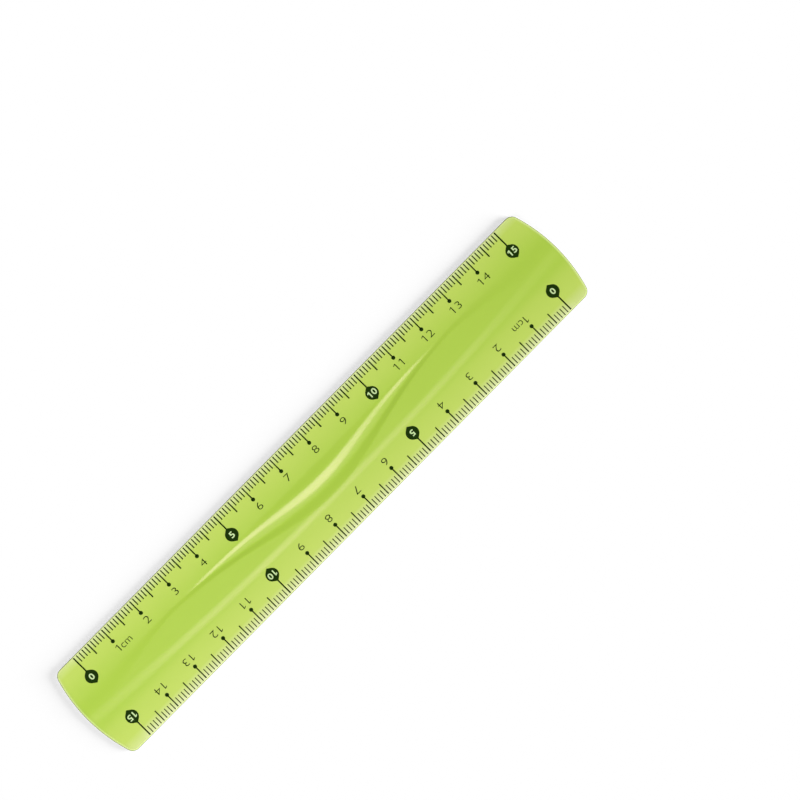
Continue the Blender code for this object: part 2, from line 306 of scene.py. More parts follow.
class StageSettings(bpy.types.PropertyGroup):
    view_width: length("View width", "What the camera sees of the floor, side to side", 0.2008)
    lens_mm: FloatProperty(name="Lens", description="Focal length in millimetres", default=200, min=1)
    turn: angle("Camera turn", "How far the camera is turned round the vertical", -45.315)
    aim_right: length("Aim right", "How far right of the ruler the camera aims", 0.0195)
    aim_up: length("Aim up", "How far above the ruler, in the picture, it aims", 0.021)
    floor_size: length("Floor size", "Side of the square floor", 3.0)
    ambient: share("Ambient", "Strength of the light from all round", 0.25)
    side_place: position("Side lamp place", "The low lamp, which throws the shadow", (1.8, -1.8, 0.85))
    side_size: length("Side lamp size", "Side of the low lamp", 1.2)
    side_power: power("Side lamp power", "Watts of the low lamp", 66.0)
    gloss_place: position("Gloss lamp place", "The lamp that shows in the crest", (-0.05, -0.22, 0.76))
    gloss_size: length("Gloss lamp size", "Side of that lamp", 0.25)
    gloss_power: power("Gloss lamp power", "Watts of that lamp", 2.0)
    fill_place: position("Fill lamp place", "The high lamp that lifts the left end", (-0.35, -0.03, 0.35))
    fill_size: length("Fill lamp size", "Side of that lamp", 0.4)
    fill_power: power("Fill lamp power", "Watts of that lamp", 1.05)
    paper_colour: colour("Paper", "The white sheet under the ruler", "E7E7E7")
    paper_roughness: share("Paper roughness", "Roughness of the sheet", 0.9)


GROUPS = {
    "ruler_blade": BladeSettings,
    "ruler_relief": ReliefSettings,
    "ruler_plastic": PlasticSettings,
    "ruler_ink": InkSettings,
    "ruler_scales": ScaleSettings,
    "ruler_figures": FigureSettings,
    "ruler_stage": StageSettings,
}


# Node trees


def fill(tree, node, links):
    """Fills a node's inputs, by name or number, each with a value or from another node's socket."""
    for key, value in links.items():
        if isinstance(value, bpy.types.NodeSocket):
            tree.links.new(value, node.inputs[key])
        else:
            node.inputs[key].default_value = value


def add(tree, kind, links=None, **settings):
    """Adds a node with its settings, and fills its inputs."""
    made = tree.nodes.new(kind)
    for name, value in settings.items():
        setattr(made, name, value)
    fill(tree, made, links or {})
    return made


def add_formula(tree, values, rows):
    """Adds a node for each row of a formula: the name of its result, its operation and what it works on."""
    for result, operation, *operands in rows:
        operands = [values[o] if isinstance(o, str) else o for o in operands]
        if operation in ("LINEAR", "SMOOTHSTEP"):
            links = dict(zip(("Value", "From Min", "From Max"), operands))
            made = add(tree, "ShaderNodeMapRange", links, interpolation_type=operation)
        else:
            made = add(tree, "ShaderNodeMath", dict(enumerate(operands)), operation=operation)
        values[result] = made.outputs[0]
    return values


def sizes_of(settings):
    """A settings group's sizes by the names that the panel shows."""
    sizes = [p for p in settings.bl_rna.properties if p.type == "FLOAT" and not p.is_array]
    return {p.name: getattr(settings, p.identifier) for p in sizes}


def new_tree(name, sizes):
    """A Geometry Nodes tree with a named input for each size, and its inputs' sockets by name."""
    tree = bpy.data.node_groups.new(name, "GeometryNodeTree")
    tree.interface.new_socket("Geometry", in_out="OUTPUT", socket_type="NodeSocketGeometry")
    tree.interface.new_socket("Geometry", in_out="INPUT", socket_type="NodeSocketGeometry")
    tree.interface.new_socket("Material", in_out="INPUT", socket_type="NodeSocketMaterial")
    for size in sizes:
        tree.interface.new_socket(size, in_out="INPUT", socket_type="NodeSocketFloat")
    return tree, dict(add(tree, "NodeGroupInput").outputs.items())


def end_tree(tree, geometry, material):
    """Ends a tree in Realize Instances and Set Material."""
    real = add(tree, "GeometryNodeRealizeInstances", {0: geometry})
    finished = add(tree, "GeometryNodeSetMaterial", {0: real.outputs[0], "Material": material})
    add(tree, "NodeGroupOutput", {0: finished.outputs[0]})


def run_tree(tree, mesh, material, sizes):
    """Runs a tree on a mesh, and gives the result as a plain mesh."""
    carrier = bpy.data.objects.new(tree.name, mesh)
    bpy.context.scene.collection.objects.link(carrier)
    modifier = carrier.modifiers.new(tree.name, "NODES")
    modifier.node_group = tree
    values = {**sizes, "Material": material}
    for socket in tree.interface.items_tree:
        if socket.in_out == "INPUT" and socket.name in values:
            modifier[socket.identifier] = values[socket.name]
    depsgraph = bpy.context.evaluated_depsgraph_get()
    result = bpy.data.meshes.new_from_object(carrier.evaluated_get(depsgraph))
    bpy.data.objects.remove(carrier)
    return result


def relief_formula():
    """The height of the relief at a place on the face, as a formula's rows.

    The near band climbs a little to a crest, and a steep face drops from there into a sunk crescent. The
    crescent ends at the near flank of a flat ridge, which ends at its far step. The crest and the flank
    both bow inwards at mid length. Near the blade's ends the flank broadens until it can hardly be seen.
    """
    rows = [
        ("inwards", "SUBTRACT", "Near limit", "y"),
        ("share", "DIVIDE", "inwards", "Relief width"),
        ("crest x", "SUBTRACT", "x", "Crest offset"),
        ("flank x", "SUBTRACT", "x", "Flank offset"),
    ]
    for name, place, spread in (
        ("lip", "crest x", "Lip spread"),
        ("crest", "crest x", "Crest spread"),
        ("flank", "flank x", "Flank spread"),
    ):
        rows += [
            (f"{name} ratio", "DIVIDE", place, spread),
            (f"{name} square", "MULTIPLY", f"{name} ratio", f"{name} ratio"),
            (f"{name} power", "MULTIPLY", f"{name} square", -0.5),
            (f"{name} bell", "EXPONENT", f"{name} power"),
        ]
    return rows + [
        ("crest", "MULTIPLY_ADD", "crest bell", "Crest bow", "Crest start"),
        ("face", "MULTIPLY_ADD", "crest bell", "Face bow", "Face start"),
        ("face end", "ADD", "crest", "face"),
        ("flank", "MULTIPLY_ADD", "flank bell", "Flank bow", "Flank start"),
        ("flank half", "MULTIPLY_ADD", "crest bell", "Flank softening", "Flank half width"),
        ("flank edge", "SUBTRACT", "flank", "flank half"),
        ("flank low", "MAXIMUM", "flank edge", 0.0),
        ("far out", "ABSOLUTE", "x"),
        ("fading", "SMOOTHSTEP", "far out", "Fade start", "Fade end"),
        ("broadened", "MULTIPLY_ADD", "fading", "Fade width", "flank half"),
        ("flank high", "ADD", "flank", "broadened"),
        ("x square", "MULTIPLY", "x", "x"),
        ("bow by width", "MULTIPLY", "Step bow radius", "Relief width"),
        ("bow ratio", "DIVIDE", "x square", "bow by width"),
        ("step", "MULTIPLY_ADD", "bow ratio", -0.5, "Step start"),
        ("step half", "MULTIPLY_ADD", "fading", "Step fade width", "Step half width"),
        ("step low", "SUBTRACT", "step", "step half"),
        ("step high", "ADD", "step", "step half"),
        ("lip up", "SMOOTHSTEP", "share", 0.0, "crest"),
        ("floor end", "MAXIMUM", "face end", "flank low"),
        ("steep", "SMOOTHSTEP", "share", "crest", "face end"),
        ("gentle", "SMOOTHSTEP", "share", "crest", "floor end"),
        ("eased", "SUBTRACT", "gentle", "steep"),
        ("sink", "MULTIPLY_ADD", "eased", "Face easing", "steep"),
        ("ridge up", "SMOOTHSTEP", "share", "flank low", "flank high"),
        ("ridge down", "SMOOTHSTEP", "share", "step low", "step high"),
        ("lip end", "SUBTRACT", "lip up", "sink"),
        ("lip height", "MULTIPLY", "lip bell", "Lip rise"),
        ("lip", "MULTIPLY", "lip end", "lip height"),
        ("hollow end", "SUBTRACT", "sink", "ridge up"),
        ("sunk", "MAXIMUM", "hollow end", 0.0),
        ("hollow left", "SMOOTHSTEP", "far out", "Hollow end", "Hollow start"),
        ("hollow depth", "MULTIPLY", "hollow left", "Hollow depth"),
        ("hollow", "MULTIPLY", "sunk", "hollow depth"),
        ("ridge", "SUBTRACT", "ridge up", "ridge down"),
        ("ridge height", "MULTIPLY", "ridge", "Ridge rise"),
        ("raised", "ADD", "ridge height", "lip"),
        ("height", "SUBTRACT", "raised", "hollow"),
        ("on the face", "LINEAR", "z", "Edge radius", "Face height"),
        ("raise", "MULTIPLY", "height", "on the face"),
    ]


def relief_tree(sizes):
    """Presses the relief into the blade's face."""
    tree, inputs = new_tree("press_relief", sizes)
    place = add(tree, "ShaderNodeSeparateXYZ", {0: add(tree, "GeometryNodeInputPosition").outputs[0]}).outputs
    values = add_formula(tree, {**inputs, "x": place[0], "y": place[1], "z": place[2]}, relief_formula())
    lift = add(tree, "ShaderNodeCombineXYZ", {"Z": values["raise"]})
    moved = {"Geometry": inputs["Geometry"], "Offset": lift.outputs[0]}
    pressed = add(tree, "GeometryNodeSetPosition", moved)
    end_tree(tree, pressed.outputs[0], inputs["Material"])
    return tree


def move_to(tree, solid, across, values):
    """Moves a solid of the print to its place across the blade, half sunk in the face."""
    place = add(tree, "ShaderNodeCombineXYZ", {1: across, 2: values["height"]})
    moved = {"Geometry": solid.outputs[0], "Translation": place.outputs[0]}
    return add(tree, "GeometryNodeTransform", moved).outputs[0]


def add_mark(tree, values, name, width):
    """One line of a scale, at the 0 of X. A centimetre line has a dot at its inner end."""
    add_formula(
        tree,
        values,
        [
            ("span", "SUBTRACT", f"{name} length", "Inset"),
            ("reach", "ADD", f"{name} length", "Inset"),
            ("middle", "MULTIPLY_ADD", "reach", -0.5, "Edge"),
        ],
    )
    size = add(tree, "ShaderNodeCombineXYZ", {0: values[width], 1: values["span"], 2: values["thickness"]})
    bar = add(tree, "GeometryNodeMeshCube", {"Size": size.outputs[0]})
    mark = move_to(tree, bar, values["middle"], values)
    if name == "Centimetre line":
        disc = {"Vertices": DOT_SIDES, "Radius": values["Dot radius"], "Depth": values["thickness"]}
        dot = move_to(tree, add(tree, "GeometryNodeMeshCylinder", disc), values["dot place"], values)
        pin = add(tree, "GeometryNodeJoinGeometry", {0: dot})
        tree.links.new(mark, pin.inputs[0])
        return pin.outputs[0]
    return mark


def graduation_tree(sizes):
    """Prints both scales: a line for each millimetre, longer at each half, with a dot at each centimetre.

    The far scale is the near one turned half round, and it is printed a little thinner.
    """
    tree, inputs = new_tree("print_graduations", sizes)
    every = {"half": LINES_PER_HALF, "cm": LINES_PER_CM, "marker": LINES_PER_MARKER}
    values = add_formula(
        tree,
        dict(inputs, index=add(tree, "GeometryNodeInputIndex").outputs[0]),
        [
            ("thickness", "ADD", "Ink thickness", "Ink root"),
            ("base", "SUBTRACT", "Face height", "Ink root"),
            ("height", "MULTIPLY_ADD", "thickness", 0.5, "base"),
            ("count", "ADD", "Steps", 1.0),
            *[(f"{name} left", "MODULO", "index", float(lines)) for name, lines in every.items()],
            *[(name, "LESS_THAN", f"{name} left", 0.5) for name in every],
            ("line picked", "SUBTRACT", 1.0, "half"),
            ("half picked", "SUBTRACT", "half", "cm"),
            ("cm picked", "SUBTRACT", "cm", "marker"),
            ("dot place", "SUBTRACT", "Edge", "Centimetre line length"),
        ],
    )
    start = add(tree, "ShaderNodeCombineXYZ", {"X": inputs["Scale start"]})
    stride = add(tree, "ShaderNodeCombineXYZ", {"X": inputs["Step"]})
    points = add(
        tree,
        "GeometryNodeMeshLine",
        {"Count": values["count"], "Start Location": start.outputs[0], "Offset": stride.outputs[0]},
        mode="OFFSET",
    )
    both = add(tree, "GeometryNodeJoinGeometry")
    for side, turn in (("Near", 0), ("Far", math.pi)):
        scale = add(tree, "GeometryNodeJoinGeometry")
        for picked, name, width in (
            ("line picked", "Line", f"{side} line width"),
            ("half picked", "Half line", f"{side} half line width"),
            ("cm picked", "Centimetre line", "Centimetre line width"),
        ):
            mark = add_mark(tree, values, name, width)
            copies = {"Points": points.outputs[0], "Selection": values[picked], "Instance": mark}
            placed = add(tree, "GeometryNodeInstanceOnPoints", copies)
            tree.links.new(placed.outputs[0], scale.inputs[0])
        turned = {"Geometry": scale.outputs[0], "Rotation": Euler((0, 0, turn))}
        tree.links.new(add(tree, "GeometryNodeTransform", turned).outputs[0], both.inputs[0])
    end_tree(tree, both.outputs[0], inputs["Material"])
    return tree


# Materials


def new_material(name):
    """A material, the tree to build its pattern in, and its principled shader."""
    made = bpy.data.materials.new(name)
    made.use_nodes = True
    return made, made.node_tree, made.node_tree.nodes["Principled BSDF"]


def add_noise(tree, size, detail):
    """Noise whose blotches are about this size, on object coordinates."""
    place = add(tree, "ShaderNodeTexCoord").outputs["Object"]
    noise = add(tree, "ShaderNodeTexNoise", {"Vector": place, "Scale": 1 / size, "Detail": detail})
    return noise.outputs["Fac"]


def mix_colour(tree, amount, first, second):
    """first where amount is 0, and second where it is 1: each is a colour or a socket."""
    ends = {"Factor": amount, 6: first, 7: second}
    return add(tree, "ShaderNodeMix", ends, data_type="RGBA").outputs[2]


def soft_pvc(blade, plastic):
    """Plasticised PVC, injection moulded: lime all through, with the soft gloss of a polished tool.

    It is translucent. Painted light: from a fuller lime in the middle it is painted lighter and yellower
    outwards, for the white paper under it, which shows through more the nearer a long edge is, and the far
    band is painted lighter still, for the light that falls on that side. The rim is painted pale as painted
    light, most of all the far one, and the rim and the edge walls have a painted glow, an emission for the
    light that the plastic carries to them. Cloudy patches show where it cooled unevenly.
    """
    made, tree, shader = new_material("lime_soft_pvc")
    place = add(tree, "ShaderNodeSeparateXYZ", {0: add(tree, "ShaderNodeTexCoord").outputs["Object"]}).outputs
    values = add_formula(
        tree,
        {
            **sizes_of(plastic),
            "Edge radius": blade.edge_radius,
            "x": place[0],
            "y": place[1],
            "edge": add(tree, "ShaderNodeAttribute", attribute_name="edge_distance").outputs["Fac"],
            "cloud": add_noise(tree, plastic.cloud_size, CLOUD_DETAIL),
        },
        [
            ("across", "ABSOLUTE", "y"),
            ("inwards", "SUBTRACT", HALF_WIDTH, "across"),
            # Painted light: lighter, yellower lime towards each long edge, fuller lime in the middle
            ("deep", "LINEAR", "inwards", "Deep start", "Deep end"),
            ("patch", "SUBTRACT", "cloud", 0.5),
            ("deep and cloudy", "MULTIPLY_ADD", "patch", "Cloud strength", "deep"),
            ("middle", "SMOOTHSTEP", "deep and cloudy", 0.0, 1.0),
            ("far", "MULTIPLY", "y", -1.0),
            # Painted light: less of the fuller lime on the far band paints that side lighter
            ("thin", "SMOOTHSTEP", "far", "Thin start", "Thin end"),
            ("lost", "MULTIPLY", "thin", "Thin loss"),
            ("kept", "SUBTRACT", 1.0, "lost"),
            ("full", "MULTIPLY", "middle", "kept"),
            # Painted light: a pale rim all round, pale long rims, most of all the far one, fading beyond the
            # scales
            ("inside", "SMOOTHSTEP", "edge", 0.0, "Rim width"),
            ("outside", "SUBTRACT", 1.0, "inside"),
            ("rim all round", "MULTIPLY", "outside", "Rim strength"),
            ("near rim", "LINEAR", "y", "Near rim start", "Near rim end"),
            ("far rim", "LINEAR", "far", "Far rim start", HALF_WIDTH),
            ("both rims", "ADD", "near rim", "far rim"),
            ("along", "ABSOLUTE", "x"),
            ("beyond the scale", "LINEAR", "along", "Rim fade start", "Rim fade end"),
            ("faded", "MULTIPLY", "beyond the scale", "Rim fade"),
            ("rim left", "SUBTRACT", 1.0, "faded"),
            ("long rim", "MULTIPLY", "both rims", "rim left"),
            ("rim", "MAXIMUM", "rim all round", "long rim"),
            # Painted light: an emission on the walls and the rim, a painted glow, though no lamp is there
            ("off the wall", "SMOOTHSTEP", "edge", 0.0, "Edge radius"),
            ("wall", "SUBTRACT", 1.0, "off the wall"),
            ("wall light", "MULTIPLY", "wall", "Wall glow"),
            ("glow", "MULTIPLY_ADD", "outside", "Rim glow", "wall light"),
            ("gloss", "MULTIPLY_ADD", "cloud", "Cloud roughness", "Roughness"),
        ],
    )
    # The face gets the painted lighter lime and the painted pale rim; the edge walls keep the edge lime
    edge = (*plastic.edge_colour, 1)
    body = mix_colour(tree, values["full"], edge, (*plastic.deep_colour, 1))
    face = mix_colour(tree, values["rim"], body, (*plastic.rim_colour, 1))
    rimmed = mix_colour(tree, values["off the wall"], edge, face)
    waves = add_noise(tree, plastic.ripple_size, RIPPLE_DETAIL)
    relief = {"Height": waves, "Strength": plastic.ripple_strength, "Distance": plastic.ripple_height}
    look = {
        "Base Color": rimmed,
        "Roughness": values["gloss"],
        "IOR": PVC_IOR,
        "Specular Tint": (*plastic.gloss_tint, 1),
        # Painted glow: the pale rim lime is emitted at the rim and the walls
        "Emission Color": (*plastic.rim_colour, 1),
        "Emission Strength": values["glow"],
        "Normal": add(tree, "ShaderNodeBump", relief).outputs[0],
    }
    fill(tree, shader, look)
    return made


def screen_ink(name, base, roughness, ink):
    """Screen-printing ink: a satin film with the faint grain of the mesh that it was pressed through.

    The real mesh has a thread about every 0.1 mm, which is too fine to show, so its grain is drawn at 0.2 mm.
    """
    made, tree, shader = new_material(name)
    values = add_formula(
        tree,
        {**sizes_of(ink), "roughness": roughness, "grain": add_noise(tree, ink.grain_size, GRAIN_DETAIL)},
        [
            ("patches", "MULTIPLY_ADD", "grain", "Grain contrast", "Darkest grain"),
            ("gloss", "MULTIPLY_ADD", "grain", "Grain roughness", "roughness"),
        ],
    )
    inked = add(tree, "ShaderNodeHueSaturation", {"Color": (*base, 1), "Value": values["patches"]})
    relief = {"Height": values["grain"], "Strength": ink.grain_strength, "Distance": ink.grain_height}
    look = {
        "Base Color": inked.outputs[0],
        "Roughness": values["gloss"],
        "Specular IOR Level": ink.specular,
        "Normal": add(tree, "ShaderNodeBump", relief).outputs[0],
    }
    fill(tree, shader, look)
    return made


# Pieces cut to the blade's stretches


def bend_with_blade(name, mesh, stretch, family):
    """Makes a mesh a piece for its stretch, in place of a family's nodes under it, which it hides."""
    piece = bpy.data.objects.new(f"{name}_{stretch.name}", mesh)
    bpy.context.scene.collection.objects.link(piece)
    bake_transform(piece)
    for node in [n for n in frame["nodes"] if family and n.startswith(family)]:
        low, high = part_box(node)
        if low.x < stretch.high - COLUMN and high.x > stretch.low + COLUMN:
            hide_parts(node)


def cut(bm, x, keep=None):
    """Cuts closed solids at x, and keeps both sides, or closes the one that is kept: HIGH or LOW."""
    found = bmesh.ops.bisect_plane(
        bm,
        geom=[*bm.verts, *bm.edges, *bm.faces],
        dist=SNAP,
        plane_co=(x, 0, 0),
        plane_no=(1, 0, 0),
        clear_inner=keep == "HIGH",
        clear_outer=keep == "LOW",
    )
    if keep:
        edges = [e for e in found["geom_cut"] if isinstance(e, bmesh.types.BMEdge)]
        bmesh.ops.holes_fill(bm, edges=edges)


def lay_on_blade(name, source, material, family):
    """Cuts a print where the skin is cut and at each of the skin's columns, into a piece for each stretch."""
    for stretch in STRETCHES:
        bm = bmesh.new()
        bm.from_mesh(source)
        if stretch != STRETCHES[0]:
            cut(bm, stretch.low, "HIGH")
        if stretch != STRETCHES[-1]:
            cut(bm, stretch.high, "LOW")
        for column in range(1, COLUMNS_PER_LINK):
            cut(bm, stretch.low + column * COLUMN)
        if bm.faces:
            bmesh.ops.dissolve_degenerate(bm, dist=SNAP, edges=bm.edges)
            bmesh.ops.recalc_face_normals(bm, faces=bm.faces)
            for face in bm.faces:
                face.material_index = 0
            mesh = bpy.data.meshes.new(name)
            bm.to_mesh(mesh)
            mesh.materials.append(material)
            bend_with_blade(name, mesh, stretch, family)
        bm.free()


# The blade


def face_rows(blade):
    """Where the face's rows lie across the blade, from near to far, closer at the corners and the relief."""
    corner = blade.corner_radius - blade.edge_radius
    side = HALF_WIDTH - blade.corner_radius
    turn = math.asin(side / (blade.end_bow_radius - blade.corner_radius))
    corners = side + corner * np.sin(np.linspace(math.pi / 2, turn, CORNER_ROWS))
    limit = HALF_WIDTH - blade.print_depth
    band = np.linspace(corners[-1], limit, BAND_ROWS)[1:]
    near = np.concatenate([corners, band])
    middle = np.linspace(limit, -limit, RELIEF_ROWS)[1:-1]
    return np.concatenate([near, middle, -near[::-1]])


def corner_centre(blade):
    """The centre of a corner's arc, measured from the bow's centre: along the blade and across it."""
    side = HALF_WIDTH - blade.corner_radius
    return math.sqrt((blade.end_bow_radius - blade.corner_radius) ** 2 - side**2), side


def end_curve(rows, blade):
    """Where the rows end, an edge radius inside the outline, and which way the outline faces there."""
    corner = blade.corner_radius - blade.edge_radius
    bow = blade.end_bow_radius - blade.edge_radius
    reach, side = corner_centre(blade)
    sine = np.abs(rows) / bow
    in_corner = sine > side / (blade.end_bow_radius - blade.corner_radius)
    sine = np.where(in_corner, (np.abs(rows) - side) / corner, sine).clip(0, 1)
    cosine = np.sqrt(1 - sine**2)
    x = HALF_LENGTH - blade.end_bow_radius + np.where(in_corner, reach + corner * cosine, bow * cosine)
    return x, cosine, np.sign(rows) * sine


def rim_profile(blade):
    """The rim from the face down to the underside: how far out each ring lies, and how high."""
    angles = np.linspace(0, math.pi / 2, RIM_STEPS + 1)
    radius = blade.edge_radius
    upper = [(radius * math.sin(a), FACE_HEIGHT - radius + radius * math.cos(a)) for a in angles[1:]]
    lower = [(radius * math.cos(a), radius - radius * math.sin(a)) for a in angles[:-1]]
    return np.array(upper + lower)


def face_columns(rows, ends):
    """Where each column crosses each row, along the blade: the end columns fan out to the bowed ends."""
    straight = SCALE_START + COLUMN * np.arange(len(STRETCHES) * COLUMNS_PER_LINK + 1)
    fans = np.arange(1, END_COLUMNS + 1) / END_COLUMNS
    fanned = straight[-1] + fans[:, None] * (ends - straight[-1])
    return np.concatenate([-fanned[::-1], straight[:, None] + 0 * rows, fanned])


def ring_of(x, rows, rim):
    """One cross-section of the blade, as a closed ring: face, far rim, underside, near rim."""
    face = [(a, b, FACE_HEIGHT) for a, b in zip(x, rows)]
    far = [(x[-1], rows[-1] - out, height) for out, height in rim]
    under = [(a, b, 0) for a, b in zip(x[::-1], rows[::-1])]
    near = [(x[0], rows[0] + out, height) for out, height in rim[::-1]]
    return face + far + under + near


def blade_grid(blade):
    """The flat blade as one closed skin: points, faces, each face's stretch, and the rings at the cuts."""
    rows = face_rows(blade)
    ends, facing_x, facing_y = end_curve(rows, blade)
    rim = rim_profile(blade)
    columns = face_columns(rows, ends)
    points = [ring_of(x, rows, rim) for x in columns]
    size = len(points[0])
    last_row, rings = len(rows) - 1, len(rim)
    index = np.arange(len(columns) * size).reshape(len(columns), size)
    around = np.roll(index, -1, axis=1)
    faces = np.stack([index[:-1], around[:-1], around[1:], index[1:]], axis=-1)
    stretch = (np.arange(len(columns) - 1) - END_COLUMNS) // COLUMNS_PER_LINK
    stretch = np.repeat(stretch.clip(0, len(STRETCHES) - 1), size)
    faces, points = [faces.reshape(-1, 4)], [np.array(points).reshape(-1, 3)]
    for side, column in ((-1, 0), (1, -1)):
        inner = slice(1, last_row)
        out, height = rim[:, :1], rim[:, 1:]
        x, y = side * (ends[inner] + out * facing_x[inner]), rows[inner] + out * facing_y[inner]
        tips = np.stack([x, y, height + 0 * y], axis=-1)
        ring = index[column]
        cap = np.empty((rings + 2, last_row + 1), int)
        cap[0] = ring[: last_row + 1]
        cap[-1] = ring[last_row + rings + 1 : size - rings][::-1]
        cap[1:-1, 0] = ring[: size - rings - 1 : -1]
        cap[1:-1, -1] = ring[last_row + 1 : last_row + rings + 1]
        cap[1:-1, inner] = sum(len(p) for p in points) + np.arange(tips[..., 0].size).reshape(tips.shape[:2])
        quads = np.stack([cap[:-1, :-1], cap[:-1, 1:], cap[1:, 1:], cap[1:, :-1]], axis=-1).reshape(-1, 4)
        faces.append(quads[:, ::side])
        points.append(tips.reshape(-1, 3))
        stretch = np.append(stretch, np.full(len(quads), 0 if side < 0 else len(STRETCHES) - 1))
    cuts = index[END_COLUMNS : len(columns) - END_COLUMNS : COLUMNS_PER_LINK]
    return np.concatenate(points), np.concatenate(faces), stretch, cuts


def edge_distance(points, blade):
    """How far each point lies inside the blade's outline: its bowed ends, corners and long edges."""
    x, y = np.abs(points[:, 0]) - HALF_LENGTH + blade.end_bow_radius, np.abs(points[:, 1])
    reach, side = corner_centre(blade)
    from_corner = blade.corner_radius - np.hypot(x - reach, y - side)
    from_bow = np.where(x > 0, blade.end_bow_radius - np.hypot(x, y), HALF_WIDTH)
    in_corner = (x > reach) & (y * reach > x * side)
    return np.where(in_corner, from_corner, np.minimum(from_bow, HALF_WIDTH - y)).clip(0)


def read_vectors(data, name):
    """A mesh's vectors as an array."""
    values = np.zeros(len(data) * 3, np.float32)
    data.foreach_get(name, values)
    return values.reshape(-1, 3)


class RULER_OT_blade(bpy.types.Operator):
    """Builds the soft blade: one smooth skin, cut at the middle of each link"""

    bl_idname = "ruler.blade"
    bl_label = "Build the blade"

    def execute(self, context):
        blade = context.scene.ruler_blade
        points, faces, stretch_of, cuts = blade_grid(blade)
        flat = bpy.data.meshes.new("flat_blade")
        flat.from_pydata(points, [], faces.tolist())
        flat.shade_smooth()
        sizes = {
            **sizes_of(context.scene.ruler_relief),
            "Edge radius": blade.edge_radius,
            "Face height": FACE_HEIGHT,
            "Near limit": HALF_WIDTH - blade.print_depth,
            "Relief width": 2 * (HALF_WIDTH - blade.print_depth),
        }
        plastic = soft_pvc(blade, context.scene.ruler_plastic)
        skin = run_tree(relief_tree(sizes), flat, plastic, sizes)
        points = read_vectors(skin.vertices, "co")
        normals = read_vectors(skin.vertices, "normal")
        inside = edge_distance(points, blade)
        for number, stretch in enumerate(STRETCHES):
            outer = faces[stretch_of == number]
            used, local = np.unique(outer, return_inverse=True)
            local = local.reshape(-1, 4)
            corners = [normals[used][local].reshape(-1, 3)]
            closed = local.tolist()
            for ring, ends_blade, side in (
                (cuts[number][::-1], number == 0, -1),
                (cuts[number + 1], number == len(STRETCHES) - 1, 1),
            ):
                if not ends_blade:
                    closed.append(np.searchsorted(used, ring).tolist())
                    corners.append(np.tile((side, 0.0, 0.0), (len(ring), 1)))
            mesh = bpy.data.meshes.new("blade")
            mesh.from_pydata(points[used], [], closed)
            mesh.shade_smooth()
            mesh.normals_split_custom_set(np.concatenate(corners).tolist())
            mesh.attributes.new("edge_distance", "FLOAT", "POINT").data.foreach_set("value", inside[used])
            mesh.materials.append(plastic)
            bend_with_blade("blade", mesh, stretch, "blade_link")
        return {"FINISHED"}


# The print


def ink_film(ink, under):
    """The bottom and the top of a film of ink, on a surface at this height."""
    return under - ink.root, under + ink.thickness


class RULER_OT_graduations(bpy.types.Operator):
    """Prints the lines and the dots of both scales"""

    bl_idname = "ruler.graduations"
    bl_label = "Print the lines"

    def execute(self, context):
        ink = context.scene.ruler_ink
        sizes = {
            **sizes_of(context.scene.ruler_scales),
            "Ink thickness": ink.thickness,
            "Ink root": ink.root,
            "Face height": FACE_HEIGHT,
            "Edge": HALF_WIDTH,
            "Scale start": SCALE_START,
            "Step": MILLIMETRE,
            "Steps": float(MILLIMETRES),
        }
        black = screen_ink(BLACK_INK, ink.ink_colour, ink.roughness, ink)
        lines = run_tree(graduation_tree(sizes), bpy.data.meshes.new("no_lines"), black, sizes)
        lay_on_blade("lines", lines, black, None)
        return {"FINISHED"}


def place_on_scales(bm, mesh, reading, inwards):
    """Adds a mark at a reading in centimetres of both scales: the far one is turned half round."""
    x = SCALE_START + reading * LINES_PER_CM * MILLIMETRE
    for turn in (0, math.pi):
        placed = mesh.copy()
        placed.transform(Matrix.Rotation(turn, 4, "Z") @ Matrix.Translation((x, HALF_WIDTH - inwards, 0)))
        bm.from_mesh(placed)
        bpy.data.meshes.remove(placed)


def flagged_one():
    """The font's own 1 is a bare bar, so a 1 with a flag is drawn in its place."""
    curve = bpy.data.curves.new("one", "CURVE")
    curve.dimensions = "2D"
    curve.fill_mode = "BOTH"
    spline = curve.splines.new("POLY")
    spline.points.add(len(ONE) - 1)
    for point, place in zip(spline.points, ONE):
        point.co = (*place, 0, 1)
    spline.use_cyclic_u = True
    return curve


def write(text):
    """Text in Blender's own font, at size 1."""
    curve = bpy.data.curves.new("figure", "FONT")
    curve.body = text
    curve.resolution_u = FONT_STEPS
    return curve


def figure_mesh(curves, height, stretch, weight, film):
    """Figures side by side, centred, as closed solids in a film. weight thickens or thins their strokes."""
    bm = bmesh.new()
    for number, curve in enumerate(curves):
        curve.offset = weight
        curve.extrude = 0.5  # to each side, so that a figure is 1 deep
        writer = bpy.data.objects.new("figure", curve)
        bpy.context.scene.collection.objects.link(writer)
        depsgraph = bpy.context.evaluated_depsgraph_get()
        glyph = bpy.data.meshes.new_from_object(writer.evaluated_get(depsgraph))
        bpy.data.objects.remove(writer)
        left = (number - len(curves) / 2) * FONT_ADVANCE
        glyph.transform(Matrix.Translation((left, -FONT_HEIGHT / 2, 0)))
        bm.from_mesh(glyph)
        bpy.data.meshes.remove(glyph)
    bmesh.ops.remove_doubles(bm, verts=bm.verts, dist=FONT_MERGE)
    bmesh.ops.dissolve_degenerate(bm, dist=FONT_MERGE, edges=bm.edges)
    mesh = bpy.data.meshes.new("figure")
    bm.to_mesh(mesh)
    bm.free()
    size = height / (FONT_HEIGHT + 2 * weight)
    bottom, top = film
    mesh.transform(Matrix.Diagonal((size * stretch, size, top - bottom, 1)))
    mesh.transform(Matrix.Translation((0, 0, (bottom + top) / 2)))
    return mesh


def number_curves(reading):
    return [flagged_one() if figure == "1" else write(figure) for figure in str(reading)]


def finish_print(bm, name, material, family):
    """Lays a finished print on the blade."""
    mesh = bpy.data.meshes.new(name)
    bm.to_mesh(mesh)
    bm.free()
    lay_on_blade(name, mesh, material, family)


